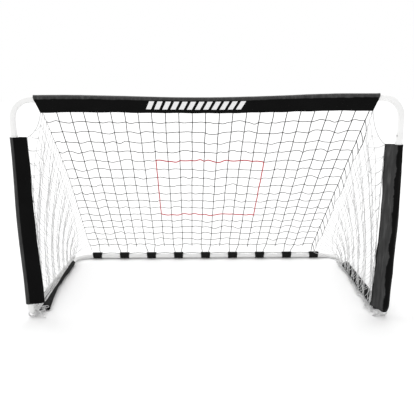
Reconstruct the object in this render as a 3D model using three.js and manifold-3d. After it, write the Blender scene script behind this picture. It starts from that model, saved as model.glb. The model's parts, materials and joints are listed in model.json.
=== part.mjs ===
// A free-standing hockey goal: a frame of plug-together steel tube, fabric sleeves, straps and nets.
// Millimetres, +Z up. The goal mouth faces -Y, and the floor is at z = 0.

import * as THREE from 'three';
import * as BufferGeometryUtils from 'three/addons/utils/BufferGeometryUtils.js';
import Module from 'manifold-3d';

const wasm = await Module();
wasm.setup();

// Frame, measured between tube centrelines.
const WIDTH = 1790;
const HEIGHT = 1068;
const DEPTH = 909;
const CROSSBAR_SAG = 14; // how far the two plugged halves hang down in the middle
const UPRIGHT_BOW = 6; // how far the net tension lets each upright bow outwards

// Tubes. Straight tubes take the smaller plug ends of the bends.
const TUBE_RADIUS = 17;
const WALL = 1.2;
const PLUG_RADIUS = 15.4;
const PLUG_LENGTH = 60;
const BEND_RADIUS = 90;
const FOOT_RADIUS = 60;
const CROSSBAR_LEG = 25; // bare tube between a bend and the rim that it plugs into
const UPRIGHT_LEG = 74;
const REAR_LEG = 5;
const FOOT_LEG = 10;
const SIDES = 12; // flat sides round a tube
const CORD_SIDES = 8;
const BAR_STEPS = 8;

// Snap buttons.
const BUTTON_RADIUS = 4;
const BUTTON_HOLE_RADIUS = 4.35;
const BUTTON_INSET = 9; // from the rim to the button's centre
const BUTTON_FOOT = 8; // from the tube's centreline to the button's inner end
const BUTTON_TOP = 21;
const BUTTON_DOME = 2.2; // height of the rounded top
const DRILL_REACH = 2 * TUBE_RADIUS;
const DRILL_SIDES = 10;
const SPRING_WIDTH = 6.6;
const SPRING_THICKNESS = 0.8;
const SPRING_TAIL = 7; // how far the leaf runs past the button, away from its fold
const SPRING_SEAT = 8; // flat of the upper leg on the button's other side
const SPRING_LENGTH = 46; // from the button to the fold
const SPRING_FOLD = 2.6; // inner half height of the fold

// Fabric.
const GAP = 0.3;
const CLOTH = 2;
const SLEEVE_RADIUS = TUBE_RADIUS + GAP + CLOTH;
const CROSSBAR_FLAP = 52; // from the tube's centreline to the sleeve's edge
const UPRIGHT_FLAP = 65;
const RAIL_FLAP = 50;
const RAIL_SLEEVE_INSETS = [16, 16]; // bare tube with its button, at the front and rear ends of a rail
const CROSSBAR_SLEEVE_HALF = 790;
const CROSSBAR_SLEEVE_SLANT = 26; // how much shorter each end is at the sleeve's edge
const SLEEVE_SPANS = { left: [85, 916], right: [75, 873] }; // heights above the floor
const STRAP_WIDTH = 60;
const STRAP_PITCH = 184;
const STRAP_SHIFT = -15;
const STRAPS = 9;

// Nets.
const TWINE = 3;
const NET_MESH = 124; // spacing of the plain lattice that stands for the finer net
const NET_SHOULDER = 100; // down the slope, where the back net reaches its full front width
const NET_SMALLEST_HOLE = 300; // cut-off corners of holes smaller than this, in square mm, stay filled
const BORDER_CORD_RADIUS = 2.5;
const BORDER_CORD_REACH = 23; // from the rear bar's centreline
const BORDER_CORD_LENGTH = 1540;
const TARGET_WIDTH = 556;
const TARGET_HEIGHT = 500;
const TARGET_SHIFT = 10;
const TARGET_DROP = 330; // from the net's top edge to the target's top
const TARGET_CORD = 4;
const TIE_CORD_RADIUS = 1.5;
const TIE_STEPS = 20;

// Places that follow from them.
const GROUND = SLEEVE_RADIUS; // ground tube centrelines above the floor
const FRONT = -DEPTH / 2;
const REAR = DEPTH / 2;
const SIDE = WIDTH / 2;
const CROSSBAR_Z = GROUND + HEIGHT;
const CROSSBAR_RIM = SIDE - BEND_RADIUS - CROSSBAR_LEG;
const UPRIGHT_TOP = CROSSBAR_Z - BEND_RADIUS - UPRIGHT_LEG;
const UPRIGHT_BOTTOM = GROUND + FOOT_RADIUS + FOOT_LEG;
const RAIL_FRONT = FRONT + FOOT_RADIUS + FOOT_LEG;
const RAIL_REAR = REAR - BEND_RADIUS - REAR_LEG;
const REAR_RIM = SIDE - BEND_RADIUS - REAR_LEG;

const X = new THREE.Vector3(1, 0, 0);
const Y = new THREE.Vector3(0, 1, 0);
const Z = new THREE.Vector3(0, 0, 1);

const PAINT = { color: 0xe6e7e9, roughness: 0.35, metalness: 0.0 };
const BUTTON_STEEL = { color: 0x55575b, roughness: 0.4, metalness: 1.0 };
const SPRING_STEEL = { color: 0x8b8e92, roughness: 0.35, metalness: 1.0 };
const BLACK_CLOTH = { color: 0x141415, roughness: 0.9, metalness: 0.0 };
const STRAP_CLOTH = { color: 0x1a1a1b, roughness: 0.95, metalness: 0.0 };
const BLACK_TWINE = { color: 0x1c1c1e, roughness: 0.85, metalness: 0.0 };
const WHITE_TWINE = { color: 0xe4e4e1, roughness: 0.8, metalness: 0.0 };
const RED_TWINE = { color: 0xc43b46, roughness: 0.8, metalness: 0.0 };

const goal = new THREE.Group();

function addMesh(group, name, geometry, finish) {
  const mesh = new THREE.Mesh(geometry, new THREE.MeshStandardMaterial(finish));
  mesh.name = name;
  group.add(mesh);
  return mesh;
}

// A group at a place, turned so that its x and y axes lie along two world directions.
function groupAt(position, xAxis, yAxis) {
  const group = new THREE.Group();
  const zAxis = new THREE.Vector3().crossVectors(xAxis, yAxis);
  group.quaternion.setFromRotationMatrix(new THREE.Matrix4().makeBasis(xAxis, yAxis, zAxis));
  group.position.copy(position);
  goal.add(group);
  return group;
}

// ---- solids ----

function toManifold(geometry) {
  const bare = geometry.clone();
  bare.deleteAttribute('normal');
  bare.deleteAttribute('uv');
  const merged = BufferGeometryUtils.mergeVertices(bare, 1e-4);
  const triVerts = new Uint32Array(merged.index.array);
  const vertProperties = new Float32Array(merged.attributes.position.array);
  return new wasm.Manifold(new wasm.Mesh({ numProp: 3, vertProperties, triVerts }));
}

function toGeometry(manifold) {
  const mesh = manifold.getMesh();
  const geometry = new THREE.BufferGeometry();
  geometry.setAttribute('position', new THREE.BufferAttribute(mesh.vertProperties, 3));
  geometry.setIndex(new THREE.BufferAttribute(mesh.triVerts, 1));
  return geometry;
}

function cut(geometry, tools) {
  let solid = toManifold(geometry);
  for (const tool of tools) {
    solid = solid.subtract(toManifold(tool));
  }
  return toGeometry(solid);
}

function join(geometries) {
  let solid = toManifold(geometries[0]);
  for (const other of geometries.slice(1)) {
    solid = solid.add(toManifold(other));
  }
  return toGeometry(solid);
}

// ---- sections, in the XY plane ----

// A round outline of flat sides that touch the circle, with a flat at -y.
function roundOutline(radius, sides = SIDES) {
  const points = [];
  for (let i = 0; i < sides; i += 1) {
    const angle = (2 * Math.PI * (i + 0.5)) / sides - Math.PI / 2;
    const reach = radius / Math.cos(Math.PI / sides);
    points.push(new THREE.Vector2(reach * Math.cos(angle), reach * Math.sin(angle)));
  }
  return points;
}

// The outline of cloth drawn tightly round a tube and a small tip that lies straight below it.
function wrapOutline(radius, tipRadius, tipReach) {
  const tip = roundOutline(tipRadius, CORD_SIDES).map((p) => p.sub(new THREE.Vector2(0, tipReach)));
  return hull([...roundOutline(radius), ...tip]);
}

// The convex hull of some points, anticlockwise.
function hull(points) {
  const sorted = [...points].sort((a, b) => a.x - b.x || a.y - b.y);
  const lower = halfHull(sorted);
  const upper = halfHull(sorted.reverse());
  return [...lower, ...upper];
}

function halfHull(points) {
  const kept = [];
  for (const point of points) {
    while (kept.length > 1 && !turnsLeft(kept.at(-2), kept.at(-1), point)) {
      kept.pop();
    }
    kept.push(point);
  }
  return kept.slice(0, -1);
}

function turnsLeft(a, b, c) {
  return b.clone().sub(a).cross(c.clone().sub(b)) > 1e-9;
}

function shellShape(outer, inner) {
  const shape = new THREE.Shape(outer);
  shape.holes.push(new THREE.Path(inner));
  return shape;
}

function tubeShape(radius) {
  return shellShape(roundOutline(radius), roundOutline(radius - WALL));
}

function sleeveShape(flap) {
  const outer = wrapOutline(SLEEVE_RADIUS, CLOTH, flap - CLOTH);
  const inner = wrapOutline(SLEEVE_RADIUS - CLOTH, GAP, flap - 3 * CLOTH);
  return shellShape(outer, inner);
}

// A straight prism along z, from low to high.
function prism(shape, low, high, steps = 1) {
  const settings = { depth: high - low, steps, bevelEnabled: false };
  return new THREE.ExtrudeGeometry(shape, settings).translate(0, 0, low);
}

// Bows a bar that runs from low to high: its plugged ends stay straight, and its middle moves by
// the full amount along y.
function bow(geometry, low, high, amount) {
  const place = geometry.attributes.position;
  const start = low + PLUG_LENGTH;
  const free = high - low - 2 * PLUG_LENGTH;
  for (let i = 0; i < place.count; i += 1) {
    const share = THREE.MathUtils.clamp((place.getZ(i) - start) / free, 0, 1);
    const offset = (amount * (1 - Math.cos(2 * Math.PI * share))) / 2;
    place.setY(i, place.getY(i) + offset);
  }
  return geometry;
}

// The tool that drills a button hole: a cylinder from the origin along y.
function drillTool() {
  const drill = new THREE.CylinderGeometry(
    BUTTON_HOLE_RADIUS,
    BUTTON_HOLE_RADIUS,
    DRILL_REACH,
    DRILL_SIDES,
  );
  return drill.translate(0, DRILL_REACH / 2, 0);
}

// Drills outwards from the centreline of a bar along z, at that height and angle.
function buttonDrill(z, angle) {
  return drillTool().rotateZ(angle - Math.PI / 2).translate(0, 0, z);
}

// ---- bends ----

// A centreline that comes in along +x, turns about the corner at the origin and leaves along +y.
class BendCurve extends THREE.Curve {
  constructor(radius, inLeg, outLeg) {
    super();
    this.radius = radius;
    this.inLeg = inLeg;
    this.arc = (Math.PI / 2) * radius;
    this.total = inLeg + this.arc + outLeg;
  }

  getPoint(t, target = new THREE.Vector3()) {
    const along = t * this.total;
    const r = this.radius;
    if (along <= this.inLeg) {
      return target.set(r + this.inLeg - along, 0, 0);
    }
    if (along >= this.inLeg + this.arc) {
      return target.set(0, r + along - this.inLeg - this.arc, 0);
    }
    const angle = (along - this.inLeg) / r;
    return target.set(r - r * Math.sin(angle), r - r * Math.cos(angle), 0);
  }
}

// The direction of a unit vector in the XY plane at an angle from x.
function heading(xAxis, yAxis, angle) {
  return xAxis.clone().multiplyScalar(Math.cos(angle)).addScaledVector(yAxis, Math.sin(angle));
}

// A bend with plug ends, drilled for its two snap buttons. It comes in along xAxis and leaves along
// yAxis, and each end has the length of bare leg and the direction that its button faces.
function addBend(name, corner, axes, radius, ends, steps) {
  const group = groupAt(corner, ...axes);
  const legs = ends.map((end) => end.leg + PLUG_LENGTH);
  const settings = { steps, extrudePath: new BendCurve(radius, ...legs), bevelEnabled: false };
  const geometry = new THREE.ExtrudeGeometry(tubeShape(PLUG_RADIUS), settings);
  const toLocal = group.quaternion.clone().invert();
  const drills = [X, Y].map((axis, i) => {
    const out = ends[i].out.clone().applyQuaternion(toLocal);
    const drill = drillTool().applyQuaternion(new THREE.Quaternion().setFromUnitVectors(Y, out));
    const at = axis.clone().multiplyScalar(radius + ends[i].leg + BUTTON_INSET);
    return drill.translate(at.x, at.y, at.z);
  });
  addMesh(group, name, cut(geometry, drills), PAINT);
}

// ---- snap buttons ----

function buttonGeometry() {
  const profile = [
    new THREE.Vector2(0, BUTTON_FOOT),
    new THREE.Vector2(BUTTON_RADIUS, BUTTON_FOOT),
    new THREE.Vector2(BUTTON_RADIUS, BUTTON_TOP - BUTTON_DOME),
    new THREE.Vector2(BUTTON_RADIUS * 0.75, BUTTON_TOP - BUTTON_DOME / 3),
    new THREE.Vector2(0, BUTTON_TOP),
  ];
  return new THREE.LatheGeometry(profile, DRILL_SIDES).rotateX(Math.PI / 2);
}

// A folded leaf: the upper leg carries the button, and the lower leg lies on the far wall.
function springGeometry() {
  const top = BUTTON_FOOT - GAP;
  const floor = -(PLUG_RADIUS - WALL - GAP);
  const fold = (top + floor) / 2;
  const t = SPRING_THICKNESS;
  const tail = -SPRING_TAIL;
  const end = SPRING_LENGTH;
  const outline = [
    [tail, top - t],
    [SPRING_SEAT, top - t],
    [end - 2, fold + SPRING_FOLD - t],
    [end - t, fold],
    [end - 2, fold - SPRING_FOLD + t],
    [tail, floor + t],
    [tail, floor],
    [end - 1, fold - SPRING_FOLD],
    [end, fold],
    [end - 1, fold + SPRING_FOLD],
    [SPRING_SEAT, top],
    [tail, top],
  ];
  const shape = new THREE.Shape(outline.map(([x, y]) => new THREE.Vector2(x, y)));
  const leaf = prism(shape, -SPRING_WIDTH / 2, SPRING_WIDTH / 2);
  return leaf.rotateX(Math.PI / 2);
}

// One snap button with its spring. deeper points along the tube towards the bend.
function addSnapButton(name, position, deeper, out) {
  const side = new THREE.Vector3().crossVectors(out, deeper);
  const group = groupAt(position, deeper, side);
  addMesh(group, `${name}_button`, buttonGeometry(), BUTTON_STEEL);
  addMesh(group, `${name}_spring`, springGeometry(), SPRING_STEEL);
}

// ---- the frame ----

// The plug end of a half bar: a short shoulder and a narrower tube that enters the other half.
function withPlug(tube) {
  const bore = roundOutline(PLUG_RADIUS - WALL);
  const shoulder = prism(shellShape(roundOutline(TUBE_RADIUS), bore), -2 * TUBE_RADIUS, -GAP / 2);
  const plug = prism(shellShape(roundOutline(PLUG_RADIUS), bore), -TUBE_RADIUS, PLUG_LENGTH);
  return join([tube, shoulder, plug]);
}

// A bar of two halves along X, with the left half plugged into the right one.
function addHalves(name, y, z, rim, sag, holeAngle) {
  const group = groupAt(new THREE.Vector3(0, y, z), Y, Z);
  const left = prism(tubeShape(TUBE_RADIUS), -rim, -GAP / 2, sag ? BAR_STEPS : 1);
  const right = prism(tubeShape(TUBE_RADIUS), GAP / 2, rim, sag ? BAR_STEPS : 1);
  const hole = rim - BUTTON_INSET;
  const leftBar = bow(withPlug(left), -rim, rim, -sag);
  const rightBar = bow(right, -rim, rim, -sag);
  addMesh(group, `${name}_left_tube`, cut(leftBar, [buttonDrill(-hole, holeAngle)]), PAINT);
  addMesh(group, `${name}_right_tube`, cut(rightBar, [buttonDrill(hole, holeAngle)]), PAINT);
}

const DOWN = -Math.PI / 2;
const REAR_BUTTON_ANGLE = Math.PI / 3; // up from the rear side, out of sight and clear of the floor

addHalves('crossbar', FRONT, CROSSBAR_Z, CROSSBAR_RIM, CROSSBAR_SAG, DOWN);
addHalves('rear_bar', REAR, GROUND, REAR_RIM, 0, REAR_BUTTON_ANGLE);

const SIDES_OF_GOAL = [
  { side: 'left', x: -1, topButtonAngle: 0 },
  { side: 'right', x: 1, topButtonAngle: Math.PI / 6 }, // turned towards the front
];

for (const { side, x, topButtonAngle } of SIDES_OF_GOAL) {
  const inwards = X.clone().multiplyScalar(-x);
  const front = Y.clone().negate();
  const down = Z.clone().negate();
  const rearOut = heading(Y, Z, REAR_BUTTON_ANGLE);
  const topOut = heading(inwards, front, topButtonAngle);

  const outwards = inwards.clone().negate();

  // Uprights: local -y points into the goal, where the sleeve's flap lies.
  const postPlace = new THREE.Vector3(x * SIDE, FRONT, 0);
  const post = groupAt(postPlace, Y.clone().multiplyScalar(-x), outwards);
  const tube = prism(tubeShape(TUBE_RADIUS), UPRIGHT_BOTTOM, UPRIGHT_TOP, BAR_STEPS);
  const bowed = bow(tube, UPRIGHT_BOTTOM, UPRIGHT_TOP, UPRIGHT_BOW);
  const holes = [
    buttonDrill(UPRIGHT_BOTTOM + BUTTON_INSET, DOWN),
    buttonDrill(UPRIGHT_TOP - BUTTON_INSET, DOWN + topButtonAngle),
  ];
  addMesh(post, `${side}_upright_tube`, cut(bowed, holes), PAINT);
  const [low, high] = SLEEVE_SPANS[side];
  const sleeve = prism(sleeveShape(UPRIGHT_FLAP), low, high, BAR_STEPS);
  bow(sleeve, UPRIGHT_BOTTOM, UPRIGHT_TOP, UPRIGHT_BOW);
  addMesh(post, `${side}_upright_sleeve`, sleeve, BLACK_CLOTH);

  // Ground rails: local -y points up, where the buttons are.
  const railPlace = new THREE.Vector3(x * SIDE, 0, GROUND);
  const rail = groupAt(railPlace, X, down);
  const railTube = prism(tubeShape(TUBE_RADIUS), RAIL_FRONT, RAIL_REAR);
  const railHoles = [
    buttonDrill(RAIL_FRONT + BUTTON_INSET, DOWN),
    buttonDrill(RAIL_REAR - BUTTON_INSET, DOWN),
  ];
  addMesh(rail, `${side}_side_rail_tube`, cut(railTube, railHoles), PAINT);

  // Their sleeves: local -y points into the goal, where the flap lies.
  const wrap = groupAt(railPlace, Z.clone().multiplyScalar(x), outwards);
  const [frontInset, rearInset] = RAIL_SLEEVE_INSETS;
  const railSleeve = prism(sleeveShape(RAIL_FLAP), RAIL_FRONT + frontInset, RAIL_REAR - rearInset);
  addMesh(wrap, `${side}_side_rail_sleeve`, railSleeve, BLACK_CLOTH);

  // Bends.
  const top = new THREE.Vector3(x * SIDE, FRONT, CROSSBAR_Z);
  const foot = new THREE.Vector3(x * SIDE, FRONT, GROUND);
  const rear = new THREE.Vector3(x * SIDE, REAR, GROUND);
  const topEnds = [{ leg: CROSSBAR_LEG, out: down }, { leg: UPRIGHT_LEG, out: topOut }];
  const footEnds = [{ leg: FOOT_LEG, out: inwards }, { leg: FOOT_LEG, out: Z }];
  const rearEnds = [{ leg: REAR_LEG, out: rearOut }, { leg: REAR_LEG, out: Z }];
  addBend(`${side}_top_corner`, top, [inwards, down], BEND_RADIUS, topEnds, 14);
  addBend(`${side}_front_foot`, foot, [Z, Y], FOOT_RADIUS, footEnds, 10);
  addBend(`${side}_rear_corner`, rear, [inwards, front], BEND_RADIUS, rearEnds, 12);

  // Snap buttons, one at each plugged end of a bend.
  const at = (px, py, pz) => new THREE.Vector3(px, py, pz);
  const crossbarX = x * (CROSSBAR_RIM - BUTTON_INSET);
  const rearX = x * (REAR_RIM - BUTTON_INSET);
  const topZ = UPRIGHT_TOP - BUTTON_INSET;
  const footZ = UPRIGHT_BOTTOM + BUTTON_INSET;
  const frontY = RAIL_FRONT + BUTTON_INSET;
  const rearY = RAIL_REAR - BUTTON_INSET;
  addSnapButton(`${side}_crossbar`, at(crossbarX, FRONT, CROSSBAR_Z), outwards, down);
  addSnapButton(`${side}_upright_top`, at(x * SIDE, FRONT, topZ), Z, topOut);
  addSnapButton(`${side}_upright_foot`, at(x * SIDE, FRONT, footZ), down, inwards);
  addSnapButton(`${side}_rail_front`, at(x * SIDE, frontY, GROUND), front, Z);
  addSnapButton(`${side}_rail_rear`, at(x * SIDE, rearY, GROUND), Y, Z);
  addSnapButton(`${side}_rear_bar`, at(rearX, REAR, GROUND), outwards, rearOut);
}

// ---- crossbar sleeve ----

// Shortens a sleeve's ends towards its loose edge, which lies at -y.
function slantEnds(geometry, half, slant, edge) {
  const place = geometry.attributes.position;
  for (let i = 0; i < place.count; i += 1) {
    const drop = (SLEEVE_RADIUS - place.getY(i)) / (SLEEVE_RADIUS + edge);
    place.setZ(i, place.getZ(i) * (1 - (slant * drop) / half));
  }
  return geometry;
}

const crossbarSleeve = prism(
  sleeveShape(CROSSBAR_FLAP),
  -CROSSBAR_SLEEVE_HALF,
  CROSSBAR_SLEEVE_HALF,
  2 * BAR_STEPS,
);
slantEnds(crossbarSleeve, CROSSBAR_SLEEVE_HALF, CROSSBAR_SLEEVE_SLANT, CROSSBAR_FLAP);
bow(crossbarSleeve, -CROSSBAR_RIM, CROSSBAR_RIM, -CROSSBAR_SAG);
const crossbar = groupAt(new THREE.Vector3(0, FRONT, CROSSBAR_Z), Y, Z);
addMesh(crossbar, 'crossbar_sleeve', crossbarSleeve, BLACK_CLOTH);

// ---- rear straps and border cord ----

// The border cord lies above the rear bar, a little towards the front.
const CORD_ANGLE = (2 * Math.PI) / 3;
const cordDirection = heading(Y, Z, CORD_ANGLE);
const cordPlace = new THREE.Vector3(0, REAR, GROUND);
cordPlace.addScaledVector(cordDirection, BORDER_CORD_REACH);

const strapX = new THREE.Vector3().crossVectors(X, cordDirection).negate();
const strapOutline = wrapOutline(
  SLEEVE_RADIUS,
  BORDER_CORD_RADIUS + GAP + CLOTH,
  BORDER_CORD_REACH,
);
const strapBore = wrapOutline(TUBE_RADIUS + GAP, BORDER_CORD_RADIUS + GAP, BORDER_CORD_REACH);
for (let i = 0; i < STRAPS; i += 1) {
  const middle = STRAP_SHIFT + (i - (STRAPS - 1) / 2) * STRAP_PITCH;
  const place = new THREE.Vector3(middle, REAR, GROUND);
  const group = groupAt(place, strapX, cordDirection.clone().negate());
  const strap = prism(shellShape(strapOutline, strapBore), -STRAP_WIDTH / 2, STRAP_WIDTH / 2);
  addMesh(group, `rear_strap_${i + 1}`, strap, STRAP_CLOTH);
}

const cordShape = new THREE.Shape(roundOutline(BORDER_CORD_RADIUS, CORD_SIDES));
const cord = prism(cordShape, -BORDER_CORD_LENGTH / 2, BORDER_CORD_LENGTH / 2);
const cordGroup = groupAt(cordPlace.clone().setX(STRAP_SHIFT), Y, Z);
addMesh(cordGroup, 'net_border_cord', cord, BLACK_TWINE);

// ---- nets ----

// A flat lattice: a plate with square holes, all of them inside a border of one twine's width.
function netGeometry(outline, pitch) {
  const box = new THREE.Box2().setFromPoints(outline);
  const size = box.getSize(new THREE.Vector2());
  const centre = box.getCenter(new THREE.Vector2());
  const columns = Math.ceil(size.x / pitch);
  const rows = Math.ceil(size.y / pitch);
  const window = toManifold(prism(new THREE.Shape(inset(outline, TWINE)), -TWINE, TWINE));
  let lattice = toManifold(prism(new THREE.Shape(outline), -TWINE / 2, TWINE / 2));
  for (let i = 0; i < columns; i += 1) {
    for (let j = 0; j < rows; j += 1) {
      const middle = new THREE.Vector2(i + (1 - columns) / 2, j + (1 - rows) / 2);
      middle.multiplyScalar(pitch).add(centre);
      const corners = rectangle(pitch - TWINE, pitch - TWINE).map((corner) => corner.add(middle));
      const hole = toManifold(prism(new THREE.Shape(corners), -TWINE, TWINE)).intersect(window);
      if (hole.volume() > NET_SMALLEST_HOLE * 2 * TWINE) {
        lattice = lattice.subtract(hole);
      }
    }
  }
  return toGeometry(lattice);
}

function rectangle(width, height) {
  return [[-1, -1], [1, -1], [1, 1], [-1, 1]].map(
    ([px, py]) => new THREE.Vector2((px * width) / 2, (py * height) / 2),
  );
}

// A convex outline that runs anticlockwise, with every edge moved inwards.
function inset(outline, amount) {
  const count = outline.length;
  const inwardsOf = (i) => {
    const edge = outline[(i + 1) % count].clone().sub(outline[i % count]).normalize();
    return new THREE.Vector2(-edge.y, edge.x);
  };
  return outline.map((corner, i) => {
    const before = inwardsOf(i + count - 1);
    const after = inwardsOf(i);
    const bisector = before.clone().add(after);
    return corner.clone().addScaledVector(bisector, amount / bisector.dot(after));
  });
}

const netTop = new THREE.Vector3(0, FRONT, CROSSBAR_Z - CROSSBAR_FLAP - CROSSBAR_SAG - 2 * GAP);
const netRun = cordPlace.clone().sub(netTop);
const netLength = netRun.length() - 2 * (BORDER_CORD_RADIUS + CLOTH);
const netDown = netRun.clone().normalize();
const netFace = new THREE.Vector3().crossVectors(netDown, X);
const netTopHalf = CROSSBAR_SLEEVE_HALF - CROSSBAR_SLEEVE_SLANT;
const netShoulderHalf = SIDE - UPRIGHT_FLAP;
const netBottomHalf = REAR_RIM + UPRIGHT_FLAP;

// Local x is across the goal and local y is up the slope, from the net's top edge at 0.
const backNet = groupAt(netTop, X, netDown.clone().negate());
const backOutline = [
  [-netBottomHalf, -netLength], [netBottomHalf, -netLength],
  [netShoulderHalf, -NET_SHOULDER], [netTopHalf, -TWINE],
  [-netTopHalf, -TWINE], [-netShoulderHalf, -NET_SHOULDER],
].map(([px, py]) => new THREE.Vector2(px, py));
addMesh(backNet, 'back_net', netGeometry(backOutline, NET_MESH), BLACK_TWINE);

const targetRing = shellShape(
  rectangle(TARGET_WIDTH + TARGET_CORD, TARGET_HEIGHT + TARGET_CORD),
  rectangle(TARGET_WIDTH - TARGET_CORD, TARGET_HEIGHT - TARGET_CORD),
);
const target = addMesh(backNet, 'target_cord', prism(targetRing, 0, TARGET_CORD - 1), RED_TWINE);
target.position.set(TARGET_SHIFT, -TARGET_DROP - TARGET_HEIGHT / 2, TWINE / 2 + GAP);

// Side nets: from behind each upright's flap to above the rear end of each rail, in one plane.
const slope = netRun.z / netRun.y;
const sideBottom = GROUND + SLEEVE_RADIUS + CLOTH;
const sideTop = SLEEVE_SPANS.right[1];
const sideFront = FRONT + 3 * CLOTH;
const netLow = netTop.z - 2 * TWINE;
const sideSlopeTop = FRONT + (sideTop - netLow) / slope;
const sideRear = FRONT + (sideBottom - netLow) / slope;
const sideFrontX = SIDE - UPRIGHT_FLAP + TWINE;
const sideRearX = SIDE - 2 * TWINE;

for (const { side, x } of SIDES_OF_GOAL) {
  const run = new THREE.Vector3(x * (sideRearX - sideFrontX), sideRear - sideFront, 0);
  const place = new THREE.Vector3(x * sideFrontX, sideFront, 0);
  const group = groupAt(place, run.clone().normalize(), Z);
  const stretch = run.length() / (sideRear - sideFront);
  const outline = [
    [0, sideBottom],
    [run.length(), sideBottom],
    [(sideSlopeTop - sideFront) * stretch, sideTop],
    [0, sideTop],
  ].map(([px, py]) => new THREE.Vector2(px, py));
  addMesh(group, `${side}_side_net`, netGeometry(outline, NET_MESH), WHITE_TWINE);

  // The cord that ties the net's corner to the foot is a loop round the middle of its bend.
  const toward = heading(Y, Z, -Math.PI / 4);
  const centre = new THREE.Vector3(x * SIDE, FRONT + FOOT_RADIUS, GROUND + FOOT_RADIUS);
  centre.addScaledVector(heading(Y, Z, (5 * Math.PI) / 4), FOOT_RADIUS);
  const loopRadius = PLUG_RADIUS / Math.cos(Math.PI / SIDES) + 2 * GAP + TIE_CORD_RADIUS;
  const offset = new THREE.Vector2(loopRadius, 0);
  const section = roundOutline(TIE_CORD_RADIUS, CORD_SIDES).map((point) => point.add(offset));
  const loop = groupAt(centre, X, toward);
  const ring = new THREE.LatheGeometry([...section, section[0]], TIE_STEPS);
  addMesh(loop, `${side}_foot_tie`, ring, WHITE_TWINE);
}

export default goal;
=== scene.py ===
"""Looks of the hockey goal net: painted tube, fabric sleeves and straps, knotted twine nets.

All in metres, with the goal's mouth towards -Y.
"""

import json
import random
from math import acos, cos, hypot, pi, radians, sin, sqrt

import bpy
import numpy as np
from mathutils import Matrix, Vector, noise


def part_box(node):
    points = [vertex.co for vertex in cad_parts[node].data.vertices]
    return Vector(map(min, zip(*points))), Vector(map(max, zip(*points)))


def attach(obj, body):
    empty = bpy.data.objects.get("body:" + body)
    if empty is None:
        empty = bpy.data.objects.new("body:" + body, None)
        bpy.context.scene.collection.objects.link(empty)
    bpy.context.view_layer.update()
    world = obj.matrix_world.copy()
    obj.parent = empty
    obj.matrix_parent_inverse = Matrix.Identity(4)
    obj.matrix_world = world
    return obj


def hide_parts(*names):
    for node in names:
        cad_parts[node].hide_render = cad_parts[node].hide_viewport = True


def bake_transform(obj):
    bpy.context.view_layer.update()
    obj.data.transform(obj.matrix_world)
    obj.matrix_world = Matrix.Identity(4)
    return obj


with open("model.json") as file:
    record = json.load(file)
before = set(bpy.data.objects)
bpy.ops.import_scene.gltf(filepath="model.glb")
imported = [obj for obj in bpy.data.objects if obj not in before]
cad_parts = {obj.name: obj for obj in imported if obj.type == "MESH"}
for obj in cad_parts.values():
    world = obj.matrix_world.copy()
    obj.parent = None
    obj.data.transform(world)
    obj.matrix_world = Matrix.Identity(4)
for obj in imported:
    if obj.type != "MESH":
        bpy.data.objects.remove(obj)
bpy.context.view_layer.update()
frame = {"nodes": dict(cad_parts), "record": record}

# ---- sizes, in metres ----

TUBE_RADIUS = 0.017
TUBE_WALL = 0.0012
BEND_TUBE_RADIUS = 0.0154
PLUG_LENGTH = 0.060
TOP_BEND_RADIUS = 0.090
FOOT_BEND_RADIUS = 0.060
CROSSBAR_SAG = 0.014
UPRIGHT_BOW = 0.006
BUTTON_INSET = 0.009
BUTTON_HOLE_RADIUS = 0.0043
JOINT_GAP = 0.0003  # between the two halves of a bar

SLEEVE_RADIUS = 0.0186
SLEEVE_CLOTH = 0.0011
SLEEVE_LIPS = 0.0018  # from the middle of a flap to either of its sides
STRAP_WIDTH = 0.060
STRAP_CLOTH = 0.0016

COLUMNS = 25
ROWS = 17
BLACK_TWINE = 0.00175
WHITE_TWINE = 0.0012
TARGET_CORD = 0.0028
MESH_DROP = 0.0628
SLACK_MESH = MESH_DROP * 0.97
TARGET_COLUMNS = (8, 17)
TARGET_ROWS = (5, 12)

SIDES = {"left": -1, "right": 1}
X, Y, Z = Vector((1, 0, 0)), Vector((0, 1, 0)), Vector((0, 0, 1))


def middle(node, axis):
    low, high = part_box(node)
    return (low[axis] + high[axis]) / 2


SIDE = middle("right_side_rail_tube", 0)
FRONT = middle("right_upright_tube", 1)
REAR = middle("rear_bar_left_tube", 1)
GROUND = middle("right_side_rail_tube", 2)
UPRIGHT_BOTTOM, UPRIGHT_TOP = (end.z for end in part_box("right_upright_tube"))
RAIL_FRONT, RAIL_REAR = (end.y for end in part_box("right_side_rail_tube"))
CROSSBAR_RIM = -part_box("crossbar_left_tube")[0].x
REAR_RIM = -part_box("rear_bar_left_tube")[0].x
CROSSBAR_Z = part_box("crossbar_sleeve")[1].z - 0.0193


def wander(seed, s, scale=1.0):
    """A smooth random value from about -1 to 1 along s."""
    return noise.noise(Vector((s / scale, seed * 7.31, seed * 1.77))) * 1.6


def ease(value):
    value = min(1.0, max(0.0, value))
    return value * value * (3 - 2 * value)


# ---- mesh building ----


def distances(points):
    """How far along the line each of its points is."""
    steps = np.linalg.norm(np.diff(points, axis=0), axis=1)
    return np.concatenate([[0], np.cumsum(steps)])


def squared(direction, tangent):
    """The direction turned square to the tangent, at unit length."""
    direction = np.asarray(direction, float)
    direction = direction - tangent * direction.dot(tangent)
    return direction / np.linalg.norm(direction)


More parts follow.
